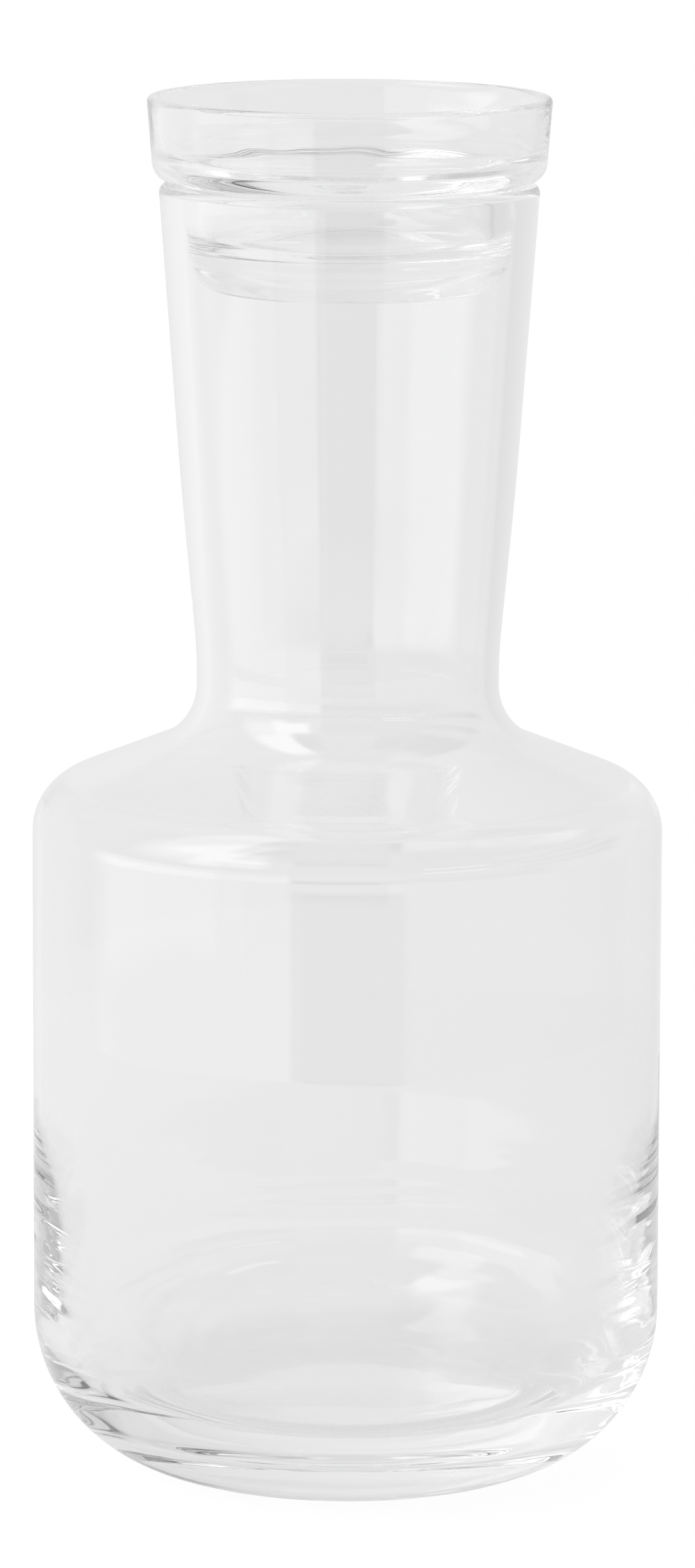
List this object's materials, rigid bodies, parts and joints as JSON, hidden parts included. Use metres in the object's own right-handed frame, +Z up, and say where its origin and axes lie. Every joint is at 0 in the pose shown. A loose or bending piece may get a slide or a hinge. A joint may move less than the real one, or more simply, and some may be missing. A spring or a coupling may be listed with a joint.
{
  "type": "carafe with stopper",
  "caption": "Clear glass table carafe with a round-based cylindrical body, a flared neck and a hollow glass stopper that lifts out.",
  "frame": {"origin": "centre of the vessel's foot, on the surface it stands on", "axes": "+Z up along the axis that both pieces are turned about; X and Y are equal by symmetry"},
  "size_m": [0.112, 0.112, 0.246],
  "materials": {
    "clear_glass": "fire-polished clear blown glass"
  },
  "bodies": {
    "vessel_body": {"vessel": "clear_glass"},
    "stopper_body": {"stopper": "clear_glass"}
  },
  "joints": [
    {"name": "stopper_lift", "type": "slide", "parent": "vessel_body", "child": "stopper_body", "axis": [0, 0, 1], "range_m": [0, 0.06]}
  ]
}
